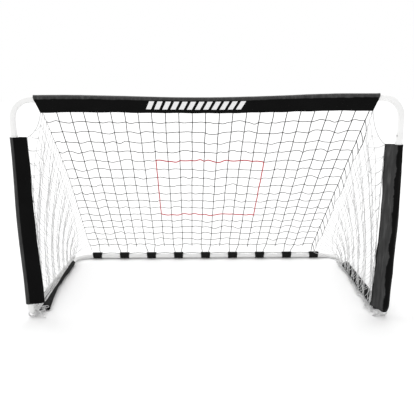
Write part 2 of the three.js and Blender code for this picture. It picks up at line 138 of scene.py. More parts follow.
class Shape:
    """Collects points, faces and face-corner UVs, in metres along and across the surface."""

    def __init__(self):
        self.points, self.faces, self.uvs = [], [], []
        self.count = 0

    def grid(self, points, along, across, wrap=False, flip=False):
        rows, columns = points.shape[:2]
        start = self.count
        self.points.append(points.reshape(-1, 3))
        self.count += rows * columns
        spans = columns if wrap else columns - 1
        i, j = np.meshgrid(np.arange(rows - 1), np.arange(spans), indexing="ij")
        next_j = (j + 1) % columns
        corners = [(i, j, j), (i, next_j, j + 1), (i + 1, next_j, j + 1), (i + 1, j, j)]
        if flip:
            corners.reverse()
        index = [start + a * columns + b for a, b, _ in corners]
        uv = [(along[a], across[c]) for a, _, c in corners]
        self.faces.extend(np.stack(index, -1).reshape(-1, 4).tolist())
        self.uvs.append(np.stack([np.stack(pair, -1) for pair in uv], -2).reshape(-1, 2))
        return start

    def cap(self, ring):
        self.faces.append(list(ring))
        self.uvs.append(np.zeros((len(ring), 2)))

    def solid(self, points, faces):
        start = self.count
        self.points.append(np.asarray(points, float))
        self.count += len(points)
        for face in faces:
            self.cap([start + k for k in face])

    def mesh(self, name):
        mesh = bpy.data.meshes.new(name)
        mesh.from_pydata(np.concatenate(self.points).tolist(), [], self.faces)
        layer = mesh.uv_layers.new(name="UVMap")
        layer.data.foreach_set("uv", np.concatenate(self.uvs).astype(np.float32).ravel())
        mesh.validate()
        mesh.polygons.foreach_set("use_smooth", [True] * len(mesh.polygons))
        return mesh


def placed(name, data):
    obj = bpy.data.objects.new(name, data)
    bpy.context.scene.collection.objects.link(obj)
    return obj


def add(name, shape, material, replaces=(), sharp=None):
    """Makes the object, fixed to the frame."""
    mesh = shape.mesh(name)
    if sharp is not None:
        mesh.set_sharp_from_angle(angle=radians(sharp))
    mesh.materials.append(material)
    obj = placed(name, mesh)
    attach(obj, "frame")
    if replaces:
        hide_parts(*replaces)
    return obj


def frames(points):
    """Tangents and two side directions carried along a line without twisting."""
    points = np.asarray(points, float)
    tangents = np.gradient(points, axis=0)
    tangents /= np.linalg.norm(tangents, axis=1)[:, None]
    side = np.cross(tangents[0], (0.31, 0.83, 0.47))
    sides = []
    for tangent in tangents:
        side = squared(side, tangent)
        sides.append(side)
    sides = np.array(sides)
    return tangents, sides, np.cross(tangents, sides)


def strand(shape, points, radius, sides=6):
    """A round strand along a line of points."""
    points = np.asarray(points, float)
    _, side, other = frames(points)
    angles = np.arange(sides) * 2 * pi / sides
    round_about = np.cos(angles)[:, None] * side[:, None] + np.sin(angles)[:, None] * other[:, None]
    rings = points[:, None] + radius * round_about
    start = shape.grid(rings, distances(points), np.arange(sides + 1) / sides, wrap=True)
    last = start + (len(points) - 1) * sides
    shape.cap(range(start + sides - 1, start - 1, -1))
    shape.cap(range(last, last + sides))


BALL_RINGS = (-0.85, -0.35, 0.35, 0.85)


def lump(shape, centre, direction, length, radius, turn=0.0, sides=7):
    """A small rounded lump, for a knot."""
    direction = Vector(direction).normalized()
    side = direction.orthogonal().normalized()
    other = direction.cross(side)
    centre = Vector(centre)
    points = [centre - direction * length]
    for height in BALL_RINGS:
        reach = sqrt(1 - height * height) * radius
        for k in range(sides):
            angle = turn + 2 * pi * k / sides
            out = side * cos(angle) + other * sin(angle)
            points.append(centre + direction * height * length + out * reach)
    points.append(centre + direction * length)
    faces = []
    for k in range(sides):
        following = (k + 1) % sides
        faces.append((0, 1 + following, 1 + k))
        for ring in range(len(BALL_RINGS) - 1):
            low, high = 1 + ring * sides, 1 + (ring + 1) * sides
            faces.append((low + k, low + following, high + following, high + k))
        top = 1 + (len(BALL_RINGS) - 1) * sides
        faces.append((top + k, top + following, len(points) - 1))
    shape.solid([tuple(p) for p in points], faces)


def shell(shape, outer, along, across, thickness):
    """A closed sheet: a grid of points, thickened towards its back, with edges all round."""
    d_row = np.gradient(outer, axis=0)
    d_column = np.gradient(outer, axis=1)
    normals = np.cross(d_column, d_row)
    normals /= np.maximum(np.linalg.norm(normals, axis=2), 1e-12)[..., None]
    inner = outer - normals * thickness
    rows, columns = outer.shape[:2]
    a = shape.grid(outer, along, across, flip=True)
    b = shape.grid(inner, along, across)
    rim = [i * columns for i in range(rows)]
    rim += [(rows - 1) * columns + j for j in range(1, columns)]
    rim += [i * columns + columns - 1 for i in range(rows - 2, -1, -1)]
    rim += list(range(columns - 2, 0, -1))
    for k, here in enumerate(rim):
        following = rim[(k + 1) % len(rim)]
        shape.cap([a + here, a + following, b + following, b + here])
    return normals


class Line:
    """A line through points that can be read at any distance along it."""

    def __init__(self, points):
        self.points = np.array([tuple(p) for p in points], float)
        self.at = distances(self.points)
        self.length = self.at[-1]

    def point(self, s):
        spot = np.array([np.interp(s, self.at, self.points[:, k]) for k in range(3)])
        if s < 0:
            spot += (self.points[0] - self.points[1]) / self.at[1] * -s
        if s > self.length:
            last = self.points[-1] - self.points[-2]
            spot += last / np.linalg.norm(last) * (s - self.length)
        return spot

    def tangent(self, s):
        step = self.point(s + 0.0005) - self.point(s - 0.0005)
        return step / np.linalg.norm(step)


def bow(low, high, amount, count=40):
    """Distances along a tube and how far its free middle bows out."""
    free = high - low - 2 * PLUG_LENGTH
    places = np.concatenate([[low], np.linspace(low + PLUG_LENGTH, high - PLUG_LENGTH, count), [high]])
    share = np.clip((places - low - PLUG_LENGTH) / free, 0, 1)
    return places, amount * (1 - np.cos(2 * pi * share)) / 2


def rounded(start, corner, end, radius, steps=24):
    """Two straight legs joined by a quarter bend."""
    start, corner, end = Vector(start), Vector(corner), Vector(end)
    into, out = (corner - start).normalized(), (end - corner).normalized()
    centre = corner - into * radius + out * radius
    points = [start]
    for k in range(steps + 1):
        angle = pi / 2 * k / steps
        points.append(centre - out * radius * cos(angle) + into * radius * sin(angle))
    return Line(points + [end])


PIPE_SIDES = 48


def pipe(shape, line, stations, reference):
    """A surface of revolution carried along a line.

    Stations are (distance, radius) pairs that close on themselves.
    """
    rings = []
    angles = np.arange(PIPE_SIDES) * 2 * pi / PIPE_SIDES
    for s, radius in stations:
        tangent = line.tangent(s)
        side = squared(reference, tangent)
        other = np.cross(tangent, side)
        round_about = np.outer(np.cos(angles), side) + np.outer(np.sin(angles), other)
        rings.append(line.point(s) + radius * round_about)
    along = np.array([s for s, _ in stations])
    start = shape.grid(np.array(rings), along, np.arange(PIPE_SIDES + 1) * 0.002, wrap=True)
    last = start + (len(stations) - 1) * PIPE_SIDES
    for k in range(PIPE_SIDES):
        following = (k + 1) % PIPE_SIDES
        shape.cap([last + k, last + following, start + following, start + k])


def hollow(low, high, radius, steps):
    """Stations of a tube with a wall and softly rounded end rims."""
    edge = TUBE_WALL * 0.4
    outside = [(low + edge, radius)] + [(s, radius) for s in steps] + [(high - edge, radius)]
    front = [(high, radius - edge), (high, radius - TUBE_WALL)]
    inside = [(s, radius - TUBE_WALL) for s in reversed(steps)]
    back = [(low, radius - TUBE_WALL), (low, radius - edge)]
    return outside + front + inside + back


DRILL_LENGTH = 0.020
DRILL_MIDDLE = 0.018  # from the tube's axis


def drilled(obj, holes):
    """Cuts round holes, each a point on the tube's line and the direction that the hole faces."""
    for centre, direction in holes:
        bpy.ops.mesh.primitive_cylinder_add(vertices=28, radius=BUTTON_HOLE_RADIUS, depth=DRILL_LENGTH)
        drill = bpy.context.active_object
        direction = Vector(direction).normalized()
        turn = direction.to_track_quat("Z", "Y").to_matrix().to_4x4()
        drill.matrix_world = Matrix.Translation(Vector(centre) + direction * DRILL_MIDDLE) @ turn
        bpy.context.view_layer.update()
        cutter = obj.modifiers.new("hole", "BOOLEAN")
        cutter.operation, cutter.solver, cutter.object = "DIFFERENCE", "EXACT", drill
        cut = bpy.data.meshes.new_from_object(obj.evaluated_get(bpy.context.evaluated_depsgraph_get()))
        obj.modifiers.clear()
        obj.data = cut
        bpy.data.objects.remove(drill)
    obj.data.set_sharp_from_angle(angle=radians(35))


# ---- materials ----


class Finish:
    """A node material with one principled shader."""

    def __init__(self, name):
        self.material = bpy.data.materials.new(name)
        self.material.use_nodes = True
        self.tree = self.material.node_tree
        self.shader = self.tree.nodes["Principled BSDF"]
        coordinates = self.node("TexCoord").outputs
        self.spot = coordinates["Object"]
        split = self.node("SeparateXYZ", {"Vector": coordinates["UV"]}).outputs
        self.along, self.across = split["X"], split["Y"]

    def feed(self, socket, value):
        if isinstance(value, bpy.types.NodeSocket):
            self.tree.links.new(value, socket)
        else:
            socket.default_value = value

    def node(self, kind, inputs=None, **settings):
        node = self.tree.nodes.new("ShaderNode" + kind)
        for key, value in settings.items():
            setattr(node, key, value)
        for key, value in (inputs or {}).items():
            self.feed(node.inputs[key], value)
        return node

    def set(self, **inputs):
        for key, value in inputs.items():
            self.feed(self.shader.inputs[key.replace("_", " ")], value)

    def ramp(self, fac, stops):
        node = self.node("ValToRGB", {"Fac": fac})
        while len(node.color_ramp.elements) < len(stops):
            node.color_ramp.elements.new(0.5)
        for element, (place, colour) in zip(node.color_ramp.elements, stops):
            element.position = place
            element.color = (*colour, 1)
        return node.outputs["Color"]

    def mixed(self, fac, first, second):
        node = self.node("Mix", {"Factor": fac}, data_type="RGBA")
        self.feed(node.inputs["A"], first)
        self.feed(node.inputs["B"], second)
        return node.outputs["Result"]

    def maths(self, operation, a, b=0.0):
        return self.node("Math", {0: a, 1: b}, operation=operation).outputs[0]

    def bump(self, height, strength, distance):
        inputs = {"Height": height, "Strength": strength, "Distance": distance}
        self.set(Normal=self.node("Bump", inputs).outputs["Normal"])

    def noise(self, scale, detail, vector=None, roughness=0.5):
        """Clouds of that scale, at the object's own place unless another is given."""
        vector = self.spot if vector is None else vector
        inputs = {"Vector": vector, "Scale": scale, "Detail": detail, "Roughness": roughness}
        return self.node("TexNoise", inputs).outputs["Fac"]


def grey(value):
    return (value, value, value)


def paint():
    finish = Finish("frame_paint")
    peel = finish.noise(900.0, 2.0)
    wear = finish.noise(14.0, 5.0)
    finish.set(
        Base_Color=finish.ramp(wear, [(0.3, (0.80, 0.80, 0.795)), (0.7, (0.85, 0.85, 0.845))]),
        Roughness=0.3,
        Coat_Weight=0.25,
        Coat_Roughness=0.18,
    )
    finish.bump(peel, 0.12, 0.0004)
    return finish.material


def weave(finish, pitch):
    """The height of a plain weave of that thread pitch."""
    maths = finish.maths
    warp = maths("SINE", maths("MULTIPLY", finish.along, pi / pitch))
    weft = maths("SINE", maths("MULTIPLY", finish.across, pi / pitch))
    return maths("ABSOLUTE", maths("MULTIPLY", warp, weft))


def sleeve_cloth(name, painted_highlight=None, printed=False):
    """Black coated cloth.

    Its second argument gives the part of its girth where a lighter grey is painted on as a highlight,
    standing in for the light that the cloth catches there, and how ragged that part's edges are.
    """
    finish = Finish(name)
    colour = finish.ramp(finish.noise(9.0, 4.0), [(0.35, grey(0.0008)), (0.7, grey(0.0018))])
    # a band of lighter grey painted on as a highlight, in place of the light that the cloth catches
    if painted_highlight:
        colour = finish.mixed(painted_highlight_band(finish, *painted_highlight), colour, painted_highlight_colour(finish))
    if printed:
        colour = finish.mixed(slanted_bars(finish), colour, (*grey(0.78), 1))
    finish.set(Base_Color=colour, Roughness=0.42, Specular_IOR_Level=0.06)
    finish.set(Sheen_Weight=0.12, Sheen_Roughness=0.22)
    finish.bump(weave(finish, 0.0009), 0.35, 0.0003)
    return finish.material


HIGHLIGHT_FADE = 0.0035  # width over which the painted highlight fades out


def painted_highlight_band(finish, low, high, ragged):
    """One across that part of the girth, where a highlight is painted, with an edge that wanders along
    the cloth.
    """
    maths = finish.maths
    edge = finish.noise(16.0, 5.0, roughness=0.65)
    offset = maths("MULTIPLY", maths("SUBTRACT", edge, 0.5), ragged)
    across = maths("ADD", finish.across, offset)
    rise = maths("DIVIDE", maths("SUBTRACT", across, low), HIGHLIGHT_FADE)
    fall = maths("DIVIDE", maths("SUBTRACT", high, across), HIGHLIGHT_FADE)
    return maths("MINIMUM", maths("MAXIMUM", maths("MINIMUM", rise, fall), 0.0), 1.0)


def painted_highlight_colour(finish):
    """The painted highlight's grey, with darker and lighter streaks."""
    stretch = finish.node("Mapping", {"Vector": finish.spot, "Scale": (1.0, 1.0, 0.16)})
    streak = finish.noise(70.0, 4.0, stretch.outputs[0])
    return finish.ramp(streak, [(0.3, grey(0.030)), (0.55, grey(0.045)), (0.75, grey(0.075))])


MARK_FROM, MARK_TO = -0.262, 0.196  # along the sleeve, from its middle
MARK_LOW, MARK_HIGH = 0.114, 0.152  # round the sleeve's girth
MARK_PITCH = 0.0382
MARK_BAR = 0.62  # share of the pitch that a bar fills
MARK_SLANT = 0.55


def slanted_bars(finish):
    """One where a row of plain slanted bars is printed, from the surface's own distances."""
    maths, across = finish.maths, finish.across
    lean = maths("MULTIPLY", maths("SUBTRACT", across, MARK_LOW), MARK_SLANT)
    leaned = maths("ADD", finish.along, lean)
    place = maths("DIVIDE", maths("SUBTRACT", leaned, MARK_FROM), MARK_PITCH)
    inside = maths("LESS_THAN", maths("FRACT", place), MARK_BAR)
    limits = [("GREATER_THAN", leaned, MARK_FROM), ("LESS_THAN", leaned, MARK_TO)]
    limits += [("GREATER_THAN", across, MARK_LOW), ("LESS_THAN", across, MARK_HIGH)]
    for limit in limits:
        inside = maths("MULTIPLY", inside, maths(*limit))
    return inside


def strap_cloth():
    finish = Finish("strap_fabric")
    fuzz = finish.noise(1500.0, 2.0)
    tufts = finish.maths("ADD", weave(finish, 0.0014), fuzz)
    colour = finish.ramp(fuzz, [(0.3, grey(0.004)), (0.75, grey(0.011))])
    finish.set(Base_Color=colour, Roughness=0.85, Specular_IOR_Level=0.2)
    finish.bump(tufts, 0.6, 0.0005)
    return finish.material


TWIST = 240.0  # turns of the yarns per metre of twine


def twine(name, dark, light):
    """Twisted twine: ridges run round the strand at a slant."""
    finish = Finish(name)
    maths = finish.maths
    turns = maths("ADD", maths("MULTIPLY", finish.along, TWIST), finish.across)
    ridge = maths("ABSOLUTE", maths("SINE", maths("MULTIPLY", turns, 2 * pi)))
    colour = finish.ramp(finish.noise(60.0, 3.0), [(0.3, dark), (0.7, light)])
    finish.set(Base_Color=colour, Roughness=0.75, Specular_IOR_Level=0.25)
    finish.bump(ridge, 0.7, 0.0004)
    return finish.material


def steel(name, colour, roughness):
    finish = Finish(name)
    grain = finish.noise(700.0, 3.0)
    shades = finish.ramp(grain, [(0.3, colour), (0.7, tuple(c * 0.8 for c in colour))])
    finish.set(Base_Color=shades, Metallic=1.0, Roughness=roughness)
    finish.bump(grain, 0.15, 0.0002)
    return finish.material


PAINT = paint()
SLEEVE = sleeve_cloth("sleeve_fabric")
# each band below is a painted highlight: the crossbar sleeve's top, the left upright's outer side and the
# right upright's flap
CROSSBAR_SLEEVE = sleeve_cloth("sleeve_fabric_printed", (0.074, 0.112, 0.010), printed=True)
UPRIGHT_SLEEVES = {
    "left": sleeve_cloth("sleeve_fabric_left", (0.088, 0.130, 0.006)),
    "right": sleeve_cloth("sleeve_fabric_right", (0.001, 0.063, 0.034)),
}
STRAP = strap_cloth()
BLACK = twine("back_twine", grey(0.010), grey(0.028))
WHITE = twine("side_twine", grey(0.51), grey(0.66))
TIE = twine("tie_twine", grey(0.68), grey(0.80))
RED = twine("target_twine", (0.46, 0.014, 0.026), (0.55, 0.025, 0.040))
THREAD = twine("sleeve_thread", grey(0.006), grey(0.012))
BUTTON = steel("button_steel", grey(0.62), 0.3)
SPRING = steel("spring_steel", grey(0.45), 0.35)

# ---- frame tubes ----


def tube(name, line, low, high, radius, reference, steps, holes, node=None):
    shape = Shape()
    pipe(shape, line, hollow(low, high, radius, steps), reference)
    obj = add(name + "_paint", shape, PAINT, replaces=[node or name + "_tube"])
    drilled(obj, holes)


def steps_between(low, high, count):
    return list(np.linspace(low, high, count + 2)[1:-1])


def bend(name, line, first_out, last_out, reference):
    """A bend with a hole near each end for the button that stands out of the tube beside it."""
    ends = [(line.point(PLUG_LENGTH - BUTTON_INSET), first_out)]
    ends.append((line.point(line.length - PLUG_LENGTH + BUTTON_INSET), last_out))
    steps = steps_between(0, line.length, 60)
    tube(name, line, 0, line.length, BEND_TUBE_RADIUS, reference, steps, ends, node=name)


def halves(name, line, steps, out):
    """A bar in two halves, with a button hole at each of its outer ends."""
    half = line.length / 2
    spans = {"left": (0, half), "right": (half + JOINT_GAP, line.length)}
    ends = {"left": BUTTON_INSET, "right": line.length - BUTTON_INSET}
    for part, (low, high) in spans.items():
        hole = (line.point(ends[part]), out)
        tube(f"{name}_{part}", line, low, high, TUBE_RADIUS, Y, steps[part], [hole])


places, drops = bow(-CROSSBAR_RIM, CROSSBAR_RIM, CROSSBAR_SAG, 80)
CROSSBAR = Line([(x, FRONT, CROSSBAR_Z - drop) for x, drop in zip(places, drops)])
half = CROSSBAR.length / 2
left_steps = steps_between(0, half, 50)
halves("crossbar", CROSSBAR, {"left": left_steps, "right": [s + half for s in left_steps]}, -Z)
REAR_BAR = Line([(-REAR_RIM, REAR, GROUND), (REAR_RIM, REAR, GROUND)])
REAR_OUT = Vector((0, cos(radians(60)), sin(radians(60))))
halves("rear_bar", REAR_BAR, {"left": [0.2, 0.5], "right": [1.1, 1.4]}, REAR_OUT)
UPRIGHTS = {}
for side, x in SIDES.items():
    top_out = Vector((-cos(radians(30)), -sin(radians(30)), 0)) if x > 0 else X
    places, outs = bow(UPRIGHT_BOTTOM, UPRIGHT_TOP, UPRIGHT_BOW)
    upright = UPRIGHTS[side] = Line([(x * (SIDE + out), FRONT, z) for z, out in zip(places, outs)])
    holes = [(upright.point(BUTTON_INSET), -x * X)]
    holes.append((upright.point(upright.length - BUTTON_INSET), top_out))
    steps = steps_between(0, upright.length, 40)
    tube(f"{side}_upright", upright, 0, upright.length, TUBE_RADIUS, Y, steps, holes)
    rail = Line([(x * SIDE, RAIL_FRONT, GROUND), (x * SIDE, RAIL_REAR, GROUND)])
    holes = [(rail.point(BUTTON_INSET), Z), (rail.point(rail.length - BUTTON_INSET), Z)]
    tube(f"{side}_side_rail", rail, 0, rail.length, TUBE_RADIUS, X, [0.2, 0.5], holes)
    corner = (x * SIDE, FRONT, CROSSBAR_Z)
    start = (x * (CROSSBAR_RIM - PLUG_LENGTH), FRONT, CROSSBAR_Z)
    end = (x * SIDE, FRONT, UPRIGHT_TOP - PLUG_LENGTH)
    bend(f"{side}_top_corner", rounded(start, corner, end, TOP_BEND_RADIUS), -Z, top_out, Y)
    corner = (x * SIDE, FRONT, GROUND)
    start = (x * SIDE, FRONT, UPRIGHT_BOTTOM + PLUG_LENGTH)
    end = (x * SIDE, RAIL_FRONT + PLUG_LENGTH, GROUND)
    bend(f"{side}_front_foot", rounded(start, corner, end, FOOT_BEND_RADIUS), -x * X, Z, X)
    corner = (x * SIDE, REAR, GROUND)
    start = (x * SIDE, RAIL_REAR - PLUG_LENGTH, GROUND)
    end = (x * (REAR_RIM - PLUG_LENGTH), REAR, GROUND)
    bend(f"{side}_rear_corner", rounded(start, corner, end, TOP_BEND_RADIUS), Z, REAR_OUT, Z)

# ---- snap buttons, and the leaf springs under them ----


def steel_finish(obj, material):
    obj.data.materials.clear()
    obj.data.materials.append(material)
    obj.data.polygons.foreach_set("use_smooth", [True] * len(obj.data.polygons))
    obj.data.set_sharp_from_angle(angle=radians(40))


for joint in frame["record"]["behaviour"]["joints"]:
    button = joint["child"]
    low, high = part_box(button)
    steel_finish(frame["nodes"][button], BUTTON)
    spring = button.replace("_button", "_spring")
    source = frame["nodes"][spring]
    leaf = placed(spring + "_leaf", source.data.copy())
    leaf.matrix_world = source.matrix_world.copy()
    steel_finish(leaf, SPRING)
    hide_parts(spring)
    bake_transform(leaf)

# ---- fabric sleeves ----

GIRTH_POINTS = 56
CLOTH_LIFT = 0.0006  # how far the cloth stands off the tube
LEAST_LIFT = 0.0003
ON_TUBE = 0.04  # up to this share of the flap's reach, the cloth lies on the tube
HEM, HEM_WIDTH = 0.0006, 0.012
SEAM = 0.0005
FLOOR_LIFT = 0.0013
WIDE_FOLD, FINE_FOLD, EDGE_WAVE = 0.0026, 0.0011, 0.0030


def wrap_section(reach):
    """Points at even spacing from one side of a flap's edge, round the tube, to its other side."""
    tip = max(reach, SLEEVE_RADIUS * 1.25)
    angle = acos(SLEEVE_RADIUS / tip)
    arc = np.linspace(angle, 2 * pi - angle, 40)
    loop = np.stack([SLEEVE_RADIUS * np.cos(arc), SLEEVE_RADIUS * np.sin(arc)], 1)
    points = np.concatenate([[(tip, SLEEVE_LIPS)], loop, [(tip, -SLEEVE_LIPS)]])
    at = distances(points)
    even = np.linspace(0, at[-1], GIRTH_POINTS)
    return np.stack([np.interp(even, at, points[:, k]) for k in range(2)], 1), even


def cloth_lift(s, k, out, share, from_end, ruffle, crease, seed):
    """How far the cloth stands out there: its folds, creases, hems and the seam at the flap's edge."""
    wide = noise.noise(Vector((s * 7, seed, k * 0.05))) * WIDE_FOLD
    fine = noise.noise(Vector((s * 34 + out * 22, seed + 3.1, k * 0.16))) * FINE_FOLD
    ridge = 1 - abs(noise.noise(Vector((s * 2.6, seed + 5.3, k * 0.13)))) * 4
    give = (wide + fine) * ruffle * (0.25 + 0.75 * share) + crease * max(0.0, ridge)
    hem = HEM * ease(1 - from_end / HEM_WIDTH) + SEAM * ease(share * 6 - 5)
    return hem + give + CLOTH_LIFT


def sleeve(name, line, span, flap, reach, material, ruffle, seed, slant=0.0, crease=0.0006, rows=260):
    """A cloth wrapped round a tube, its two edges sewn together at the flap.

    Flap is the direction that the flap points in. Reach gives the distance from the tube's axis to the
    flap's edge, for a share along the sleeve. Slant is how much each end is drawn in at that edge.
    """
    low, high = span
    middle_s = (low + high) / 2
    girth = wrap_section(reach(0.5))[1]
    outer = []
    for v in np.linspace(0, 1, rows):
        row = []
        for k, (out, across) in enumerate(wrap_section(reach(v))[0]):
            share = max(0.0, out - SLEEVE_RADIUS) / max(1e-4, reach(v) - SLEEVE_RADIUS)
            drop = (SLEEVE_RADIUS + out) / (SLEEVE_RADIUS + reach(v))
            s = low + (high - low) * v
            if slant:
                s = middle_s + (s - middle_s) * (1 - 2 * slant * drop / (high - low))
            tangent = line.tangent(s)
            toward = squared(flap, tangent)
            lift = cloth_lift(s, k, out, share, min(s - low, high - s), ruffle, crease, seed)
            if share < ON_TUBE:
                push = np.array([out, across]) / hypot(out, across) * max(LEAST_LIFT, lift)
            else:
                push = np.array([0.0, lift if across >= 0 else -lift])
            wavy = EDGE_WAVE * ruffle * share * noise.noise(Vector((s * 11, seed + 9.7, 0)))
            place = line.point(s) + toward * (out + push[0] + wavy)
            place = place + np.cross(tangent, toward) * (across + push[1])
            place[2] = max(place[2], FLOOR_LIFT)
            row.append(place)
        outer.append(row)
    outer = np.array(outer)
    shape = Shape()
    along = np.linspace(low, high, rows) - middle_s
    normals = shell(shape, outer, along, girth, SLEEVE_CLOTH)
    obj = add(name + "_cloth", shape, material, replaces=[name], sharp=50)
    stitched(f"{name}_stitches", outer, normals, girth)


STITCH = 0.0052  # from one stitch to the next
STITCH_HALF, THREAD_HALF = 0.0017, 0.0004
STITCH_TOP, STITCH_FOOT = 0.00045, 0.0003
STITCH_LIFT = 0.0001
END_INSET, EDGE_INSET = 0.010, 0.007


def stitched(name, grid, normals, girth):
    """Rows of stitches near the cloth's four edges."""
    shape = Shape()
    columns = grid.shape[1]
    row_step = np.linalg.norm(grid[1, columns // 2] - grid[0, columns // 2])
    inset = max(1, round(END_INSET / row_step))
    edge = max(1, round(EDGE_INSET / girth[1]))
    runs = [(grid[:, edge], normals[:, edge]), (grid[:, -1 - edge], normals[:, -1 - edge])]
    runs += [(grid[inset], normals[inset]), (grid[-1 - inset], normals[-1 - inset])]
    faces = [(0, 2 + (k + 1) % 4, 2 + k) for k in range(4)]
    faces += [(1, 2 + k, 2 + (k + 1) % 4) for k in range(4)]
    for points, ups in runs:
        line = Line(points)
        for s in np.arange(STITCH, line.length - STITCH, STITCH):
            up = np.array([np.interp(s, line.at, ups[:, k]) for k in range(3)])
            centre = line.point(s) + up * STITCH_LIFT
            tangent = line.tangent(s)
            side = np.cross(up, tangent) * THREAD_HALF
            tips = [centre - tangent * STITCH_HALF, centre + tangent * STITCH_HALF]
            belt = [centre + side, centre + up * STITCH_TOP, centre - side, centre - up * STITCH_FOOT]
            shape.solid(tips + belt, faces)
    add(name, shape, THREAD)


half_sleeve = (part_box("crossbar_sleeve")[1].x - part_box("crossbar_sleeve")[0].x) / 2
sleeve(
    "crossbar_sleeve",
    CROSSBAR,
    (CROSSBAR.length / 2 - half_sleeve, CROSSBAR.length / 2 + half_sleeve),
    (0, 0.02, -1),
    lambda v: 0.053 + 0.007 * abs(2 * v - 1) ** 1.5,
    CROSSBAR_SLEEVE,
    ruffle=1.1,
    seed=2.0,
    slant=0.026,
    rows=420,
)

SLEEVE_ENDS = {"left": (0.085, 0.916), "right": (0.040, 0.873)}  # heights of the upright sleeves' ends
FOOT_BEND_TOP = 0.080  # a sleeve that ends lower than this runs on round the foot's bend
BEND_STRETCH = 1.12  # length along the bend for the height that it covers
FLAP_ENDS = {"left": (0.074, 0.058), "right": (0.068, 0.060)}  # the flap's reach at its foot and its top
RAIL_SLEEVE_START = 0.016
RAIL_SLEEVE_SHORT = {"left": 0.045, "right": 0.095}  # bare length at the rail's rear end
for side, x in SIDES.items():
    low, high = SLEEVE_ENDS[side]
    upright = UPRIGHTS[side]
    start, end = (x * SIDE, FRONT, UPRIGHT_BOTTOM), (x * SIDE, RAIL_FRONT, GROUND)
    turn = rounded(start, (x * SIDE, FRONT, GROUND), end, FOOT_BEND_RADIUS)
    post = Line(list(turn.points[::-1][:-1]) + list(upright.points))
    below = turn.length
    first = below + low - UPRIGHT_BOTTOM
    if low < FOOT_BEND_TOP:
        first = below - (UPRIGHT_BOTTOM - low) * BEND_STRETCH
    wide, narrow = FLAP_ENDS[side]
    sleeve(
        f"{side}_upright_sleeve",
        post,
        (first, below + high - UPRIGHT_BOTTOM),
        (-x, 0.50 if x > 0 else 0.05, 0),
        lambda v, wide=wide, narrow=narrow: wide + (narrow - wide) * v,
        UPRIGHT_SLEEVES[side],
        ruffle=1.0 if x < 0 else 1.8,
        seed=11.0 + 5 * x,
        crease=0.0006 if x < 0 else 0.0032,
    )
    rail = Line([(x * SIDE, RAIL_FRONT, GROUND), (x * SIDE, RAIL_REAR, GROUND)])
    sleeve(
        f"{side}_side_rail_sleeve",
        rail,
        (RAIL_SLEEVE_START, rail.length - RAIL_SLEEVE_SHORT[side]),
        (-x, 0, -0.12),
        lambda v, x=x: max(0.026, 0.068 - 0.10 * v) if x < 0 else 0.036 - 0.008 * v,
        SLEEVE,
        ruffle=1.3,
        seed=23.0 + 5 * x,
    )

# ---- back net ----

random.seed(7)
SLEEVE_CORNER = 0.764  # where the crossbar sleeve's flap ends, to each side
NET_TOP = Vector((0, FRONT + 0.0045, CROSSBAR_Z - 0.050))
NET_FOOT = Vector((0, REAR - 0.0125, GROUND + 0.0200))
FIRST_ROW, ROW_STEP = 0.0567, 0.0535  # shares down the slope
SLOPE = (NET_FOOT - NET_TOP).normalized()
OUTWARD = Vector((0, SLOPE.z, -SLOPE.y)) * -1
column_shift = [random.uniform(-0.010, 0.010) for _ in range(COLUMNS + 1)]
column_shift[0] = column_shift[COLUMNS - 1] = 0.0  # the net's edges aren't shifted

COLUMN_TOPS = (-0.756, 0.0628)  # the first column's place, and the step to the next
COLUMN_FEET = (-0.781, 0.06125)
EDGE_DRAWN = 0.007  # how far the first column is drawn in near its top
SAG_TAKEN = 0.55  # share of the crossbar's sag that the net's top takes up


def column_x(i, t):
    top = COLUMN_TOPS[0] + COLUMN_TOPS[1] * i
    foot = COLUMN_FEET[0] + COLUMN_FEET[1] * i
    if i == 0:
        drawn = EDGE_DRAWN * ease(t / 0.3)
        return top + drawn + (foot - top - EDGE_DRAWN) * ease((t - 0.3) / 0.7)
    return top + (foot - top) * t


def net_point(i, t):
    """A point of column i at the share t down the slope."""
    place = NET_TOP.lerp(NET_FOOT, t) + SLOPE * (column_shift[i] * min(1, 8 * t) * min(1, 8 * (1 - t)))
    place.x = column_x(i, t) + 0.0012 * wander(i + 0.5, t, 0.06)
    place.z -= SAG_TAKEN * CROSSBAR_SAG * (1 - (place.x / CROSSBAR_RIM) ** 2) ** 2 * (1 - t)
    return place


def row_share(k):
    return FIRST_ROW + (k - 1) * ROW_STEP


STRAP_PLACES = [middle(f"rear_strap_{n}", 0) for n in range(1, 10)]
STRAP_SIDE = 0.0205  # from a strap's middle to the columns that it gathers
TOP_SHARE, FOOT_SHARE = -0.012, 0.992
FREE_TAIL = 0.018  # share by which a column between straps runs on past its last knot


def black_column(shape, i):
    """One taut column, from behind the crossbar's flap to its strap, or to the last row."""
    free = i % 3 == 2
    last = row_share(ROWS) + FREE_TAIL if free else FOOT_SHARE
    shares = np.linspace(TOP_SHARE, last, 150)
    points = [net_point(i, t) for t in shares]
    for point in points:
        point.y = max(point.y, NET_TOP.y)
    if not free:
        strap_x = STRAP_PLACES[min(len(STRAP_PLACES) - 1, i // 3)]
        end_x = strap_x + (STRAP_SIDE if i % 3 == 1 else -STRAP_SIDE)
        for point, t in zip(points, shares):
            pull = ease((t - row_share(ROWS)) / (0.99 - row_share(ROWS)))
            point.x += (end_x - point.x) * pull * 0.9
    strand(shape, points, BLACK_TWINE * 1.15)


def in_target(i, k):
    on_row = k in TARGET_ROWS and TARGET_COLUMNS[0] <= i <= TARGET_COLUMNS[1]
    on_column = i in TARGET_COLUMNS and TARGET_ROWS[0] <= k <= TARGET_ROWS[1]
    return on_row or on_column


ROW_STEPS = 8  # points from one knot to the next


